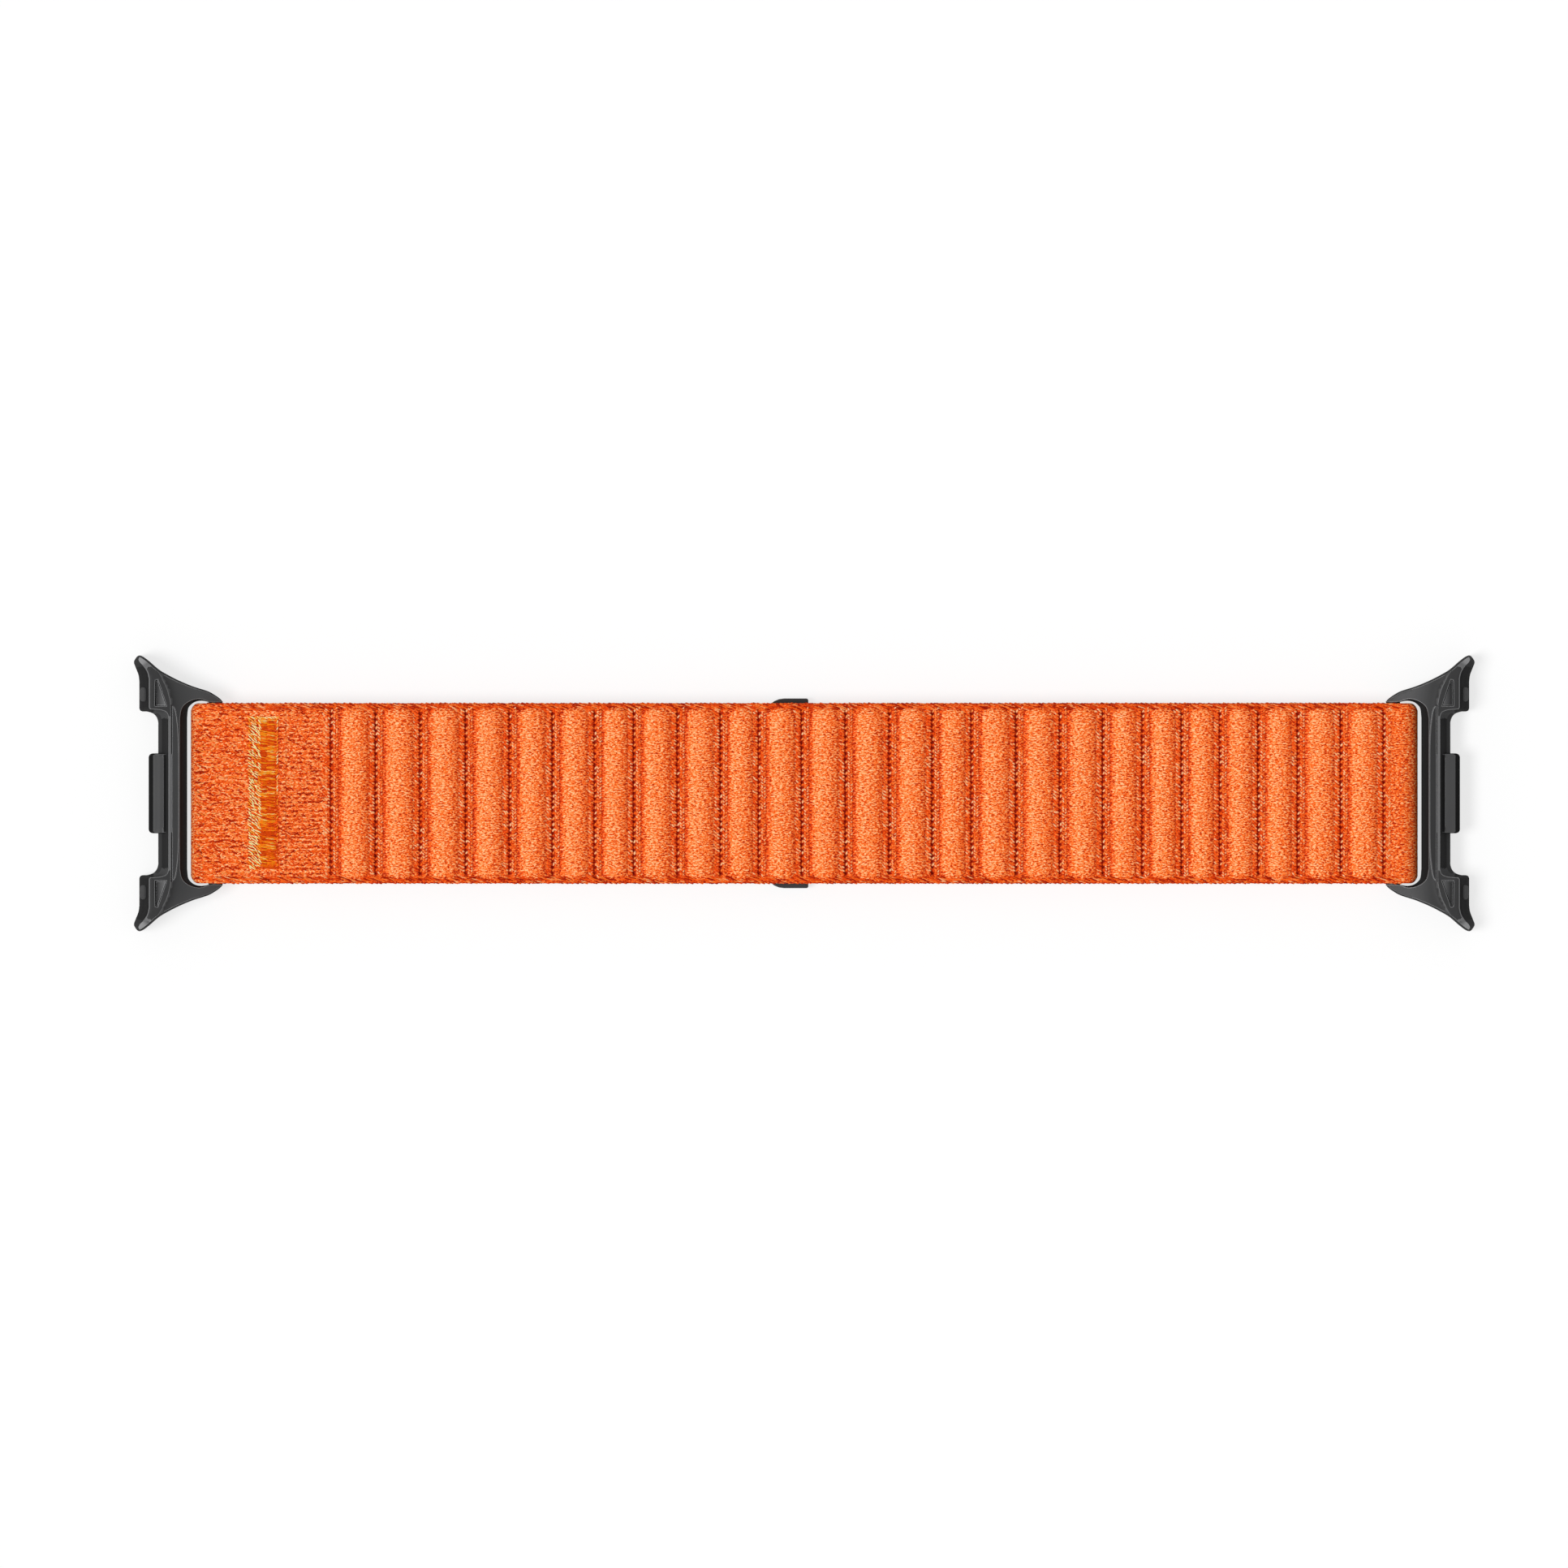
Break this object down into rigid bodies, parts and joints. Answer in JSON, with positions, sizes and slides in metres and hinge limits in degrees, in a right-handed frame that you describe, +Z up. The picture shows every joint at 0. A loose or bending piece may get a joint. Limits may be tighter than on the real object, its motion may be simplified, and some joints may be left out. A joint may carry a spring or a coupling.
{
  "type": "watch strap",
  "caption": "Orange woven nylon watch strap with padded ribs, a metal hook behind it and black metal case adapters at both ends",
  "frame": {"origin": "middle of the footprint, on the surface that the strap lies on, skin side up", "axes": "X along the strap from the sewn end to the turned end, Y across it, Z up"},
  "size_m": [0.1654, 0.034, 0.0056],
  "materials": {
    "orange_nylon": "matte",
    "yellow_thread": "satin",
    "black_metal": "satin",
    "black_rubber": "matte"
  },
  "bodies": {
    "clasp_zone": {"rib_11": "orange_nylon", "rib_12": "orange_nylon", "rib_13": "orange_nylon", "tail_rib_13": "orange_nylon"},
    "hook": {"hook": "black_metal", "tail_end_loop": "orange_nylon", "tail_stitching": "yellow_thread"},
    "left_ribs_10_09": {"rib_10": "orange_nylon", "rib_09": "orange_nylon"},
    "left_ribs_08_07": {"rib_08": "orange_nylon", "rib_07": "orange_nylon"},
    "left_ribs_06_05": {"rib_06": "orange_nylon", "rib_05": "orange_nylon"},
    "left_ribs_04_03": {"rib_04": "orange_nylon", "rib_03": "orange_nylon"},
    "left_ribs_02_01": {"rib_02": "orange_nylon", "rib_01": "orange_nylon"},
    "left_sewn_end": {"left_end": "orange_nylon", "left_stitching": "yellow_thread"},
    "left_adapter": {"left_adapter_frame": "black_metal", "left_latch": "black_metal", "left_bumper_upper": "black_rubber", "left_bumper_lower": "black_rubber"},
    "right_ribs_14_15": {"rib_14": "orange_nylon", "tail_rib_14": "orange_nylon", "rib_15": "orange_nylon", "tail_rib_15": "orange_nylon"},
    "right_ribs_16_17": {"rib_16": "orange_nylon", "tail_rib_16": "orange_nylon", "rib_17": "orange_nylon", "tail_rib_17": "orange_nylon"},
    "right_ribs_18_19": {"rib_18": "orange_nylon", "tail_rib_18": "orange_nylon", "rib_19": "orange_nylon", "tail_rib_19": "orange_nylon"},
    "right_ribs_20_21": {"rib_20": "orange_nylon", "tail_rib_20": "orange_nylon", "rib_21": "orange_nylon", "tail_rib_21": "orange_nylon"},
    "right_ribs_22_23": {"rib_22": "orange_nylon", "tail_rib_22": "orange_nylon", "rib_23": "orange_nylon", "tail_rib_23": "orange_nylon"},
    "right_ribs_24_25": {"rib_24": "orange_nylon", "tail_rib_24": "orange_nylon", "rib_25": "orange_nylon", "tail_rib_25": "orange_nylon", "right_turn": "orange_nylon"},
    "right_adapter": {"right_adapter_frame": "black_metal", "right_latch": "black_metal", "right_bumper_upper": "black_rubber", "right_bumper_lower": "black_rubber"}
  },
  "joints": [
    {"name": "hook_release", "type": "slide", "parent": "clasp_zone", "child": "hook", "axis": [1, 0, 0], "range_m": [-0.0021, 0]},
    {"name": "left_curl", "type": "hinge", "parent": "clasp_zone", "child": "left_ribs_10_09", "pos_m": [-0.00559, 0, 0.0046], "axis": [0, 1, 0], "range_deg": [0, 22]},
    {"name": "left_bend_08", "type": "hinge", "parent": "left_ribs_10_09", "child": "left_ribs_08_07", "pos_m": [-0.0156, 0, 0.0046], "axis": [0, 1, 0], "range_deg": [0, 22]},
    {"name": "left_bend_06", "type": "hinge", "parent": "left_ribs_08_07", "child": "left_ribs_06_05", "pos_m": [-0.02582, 0, 0.0046], "axis": [0, 1, 0], "range_deg": [0, 22]},
    {"name": "left_bend_04", "type": "hinge", "parent": "left_ribs_06_05", "child": "left_ribs_04_03", "pos_m": [-0.0363, 0, 0.0046], "axis": [0, 1, 0], "range_deg": [0, 22]},
    {"name": "left_bend_02", "type": "hinge", "parent": "left_ribs_04_03", "child": "left_ribs_02_01", "pos_m": [-0.0473, 0, 0.0046], "axis": [0, 1, 0], "range_deg": [0, 22]},
    {"name": "left_bend_00", "type": "hinge", "parent": "left_ribs_02_01", "child": "left_sewn_end", "pos_m": [-0.0583, 0, 0.0046], "axis": [0, 1, 0], "range_deg": [0, 22]},
    {"name": "left_adapter_swivel", "type": "hinge", "parent": "left_sewn_end", "child": "left_adapter", "pos_m": [-0.0726, 0, 0.00287], "axis": [0, 1, 0], "range_deg": [-40, 40]},
    {"name": "right_curl", "type": "hinge", "parent": "clasp_zone", "child": "right_ribs_14_15", "pos_m": [0.01049, 0, 0.0046], "axis": [0, -1, 0], "range_deg": [0, 22]},
    {"name": "right_bend_15", "type": "hinge", "parent": "right_ribs_14_15", "child": "right_ribs_16_17", "pos_m": [0.02061, 0, 0.0046], "axis": [0, -1, 0], "range_deg": [0, 22]},
    {"name": "right_bend_17", "type": "hinge", "parent": "right_ribs_16_17", "child": "right_ribs_18_19", "pos_m": [0.0315, 0, 0.0046], "axis": [0, -1, 0], "range_deg": [0, 22]},
    {"name": "right_bend_19", "type": "hinge", "parent": "right_ribs_18_19", "child": "right_ribs_20_21", "pos_m": [0.04167, 0, 0.0046], "axis": [0, -1, 0], "range_deg": [0, 22]},
    {"name": "right_bend_21", "type": "hinge", "parent": "right_ribs_20_21", "child": "right_ribs_22_23", "pos_m": [0.05122, 0, 0.0046], "axis": [0, -1, 0], "range_deg": [0, 22]},
    {"name": "right_bend_23", "type": "hinge", "parent": "right_ribs_22_23", "child": "right_ribs_24_25", "pos_m": [0.06082, 0, 0.0046], "axis": [0, -1, 0], "range_deg": [0, 22]},
    {"name": "right_adapter_swivel", "type": "hinge", "parent": "right_ribs_24_25", "child": "right_adapter", "pos_m": [0.0726, 0, 0.00287], "axis": [0, -1, 0], "range_deg": [-40, 40]}
  ],
  "couplings": [
    {"joint": "left_bend_08", "follows": "left_curl", "ratio": 1},
    {"joint": "left_bend_06", "follows": "left_curl", "ratio": 1},
    {"joint": "left_bend_04", "follows": "left_curl", "ratio": 1},
    {"joint": "left_bend_02", "follows": "left_curl", "ratio": 1},
    {"joint": "left_bend_00", "follows": "left_curl", "ratio": 1},
    {"joint": "right_bend_15", "follows": "right_curl", "ratio": 1},
    {"joint": "right_bend_17", "follows": "right_curl", "ratio": 1},
    {"joint": "right_bend_19", "follows": "right_curl", "ratio": 1},
    {"joint": "right_bend_21", "follows": "right_curl", "ratio": 1},
    {"joint": "right_bend_23", "follows": "right_curl", "ratio": 1}
  ]
}
